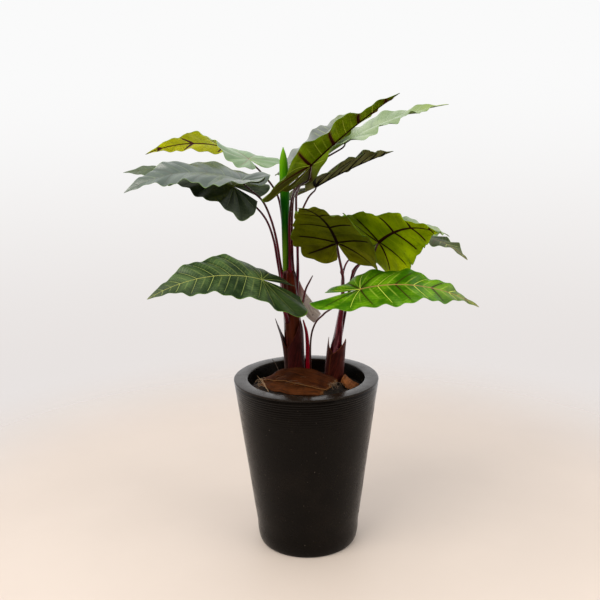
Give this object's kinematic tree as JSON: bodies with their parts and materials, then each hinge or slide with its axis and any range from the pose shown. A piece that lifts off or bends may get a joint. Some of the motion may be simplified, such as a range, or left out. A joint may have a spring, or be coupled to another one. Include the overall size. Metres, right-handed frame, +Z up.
{
  "type": "potted colocasia",
  "caption": "Leafy indoor plant in a tall tapered dark pot: two clumps of maroon stems with large arrow-shaped leaves over soil and husk.",
  "frame": {"origin": "centre of the pot's flat base, on the floor", "axes": "+Z up along the pot's axis, -Y towards the front of the plant as pictured, +X to the picture's right"},
  "size_m": [0.8908, 0.8087, 1.1594],
  "materials": {
    "pot_black": "satin black with fine turned ridges near the rim",
    "soil_dark": "loose and dark",
    "husk_brown": "dry and fibrous",
    "stem_maroon": "smooth dark maroon skin",
    "sheath_brown": "dry and papery",
    "stalk_red": "glossy red skin",
    "dry_grey": "dry and grey",
    "young_green": "waxy bright green",
    "leaf_pale": "waxy leaf with raised veins",
    "leaf_grey": "waxy leaf with raised veins",
    "leaf_dark": "waxy leaf with raised veins",
    "leaf_olive": "waxy leaf with raised veins",
    "leaf_yellow": "waxy leaf with raised veins",
    "leaf_bright": "waxy leaf with raised veins"
  },
  "bodies": {
    "root": {"pot": "pot_black", "soil": "soil_dark", "husk_lower": "husk_brown", "husk_upper": "husk_brown", "husk_right": "husk_brown", "main_stem": "stem_maroon", "second_stem": "stem_maroon", "low_stalk": "stem_maroon", "main_sheath_left": "sheath_brown", "main_sheath_right": "sheath_brown", "second_sheath_left": "sheath_brown", "second_sheath_right": "sheath_brown", "red_stalk": "stalk_red", "dry_sheath": "dry_grey", "young_leaf": "young_green", "leaf_left_top": "leaf_pale", "leaf_left_back": "leaf_grey", "leaf_left_front": "leaf_grey", "leaf_left_low": "leaf_dark", "leaf_top_back": "leaf_grey", "leaf_top_front": "leaf_olive", "leaf_top_right": "leaf_pale", "leaf_right_upper": "leaf_olive", "leaf_second_front": "leaf_olive", "leaf_second_right": "leaf_yellow", "leaf_low_right": "leaf_bright", "leaf_second_back": "leaf_dark", "leaf_second_far": "leaf_pale"}
  },
  "joints": []
}
